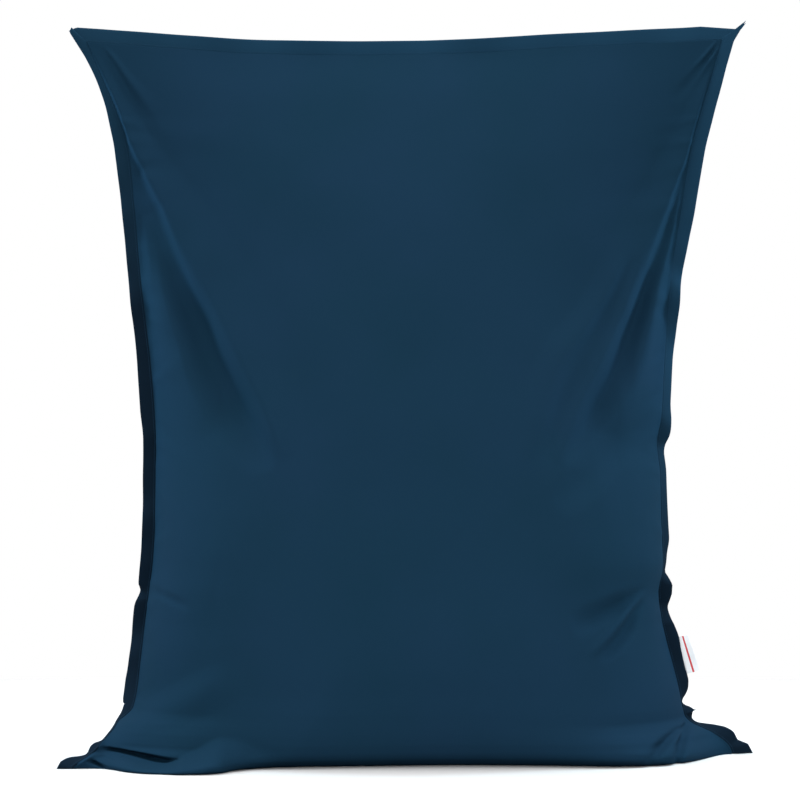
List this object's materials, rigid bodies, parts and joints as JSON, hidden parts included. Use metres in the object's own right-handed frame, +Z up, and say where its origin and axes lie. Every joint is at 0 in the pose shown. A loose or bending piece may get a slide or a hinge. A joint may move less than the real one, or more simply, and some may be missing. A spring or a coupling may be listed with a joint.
{
  "type": "giant bean bag",
  "caption": "Giant pillow-shaped bean bag of smooth woven cloth, standing on its deep filled foot, with drawn-in sides, a top drawn out to two corners and a sewn flange outside its seam.",
  "frame": {"origin": "the middle of the foot of the whole object's bounding box, on the floor", "axes": "+Z up, +X to the right as seen in the picture, along the bag's width, +Y towards the back; the front with the folded foot faces -Y"},
  "size_m": [1.3854, 0.7086, 1.4864],
  "materials": {
    "panel_cloth": "smooth coated polyester, satin matt",
    "flange_cloth": "smooth coated polyester, satin matt, two layers",
    "label_cloth": "white woven satin tape"
  },
  "bodies": {
    "root": {"bag": "panel_cloth", "flange_left": "flange_cloth", "flange_right": "flange_cloth", "flange_top": "flange_cloth", "label": "label_cloth"}
  },
  "joints": []
}
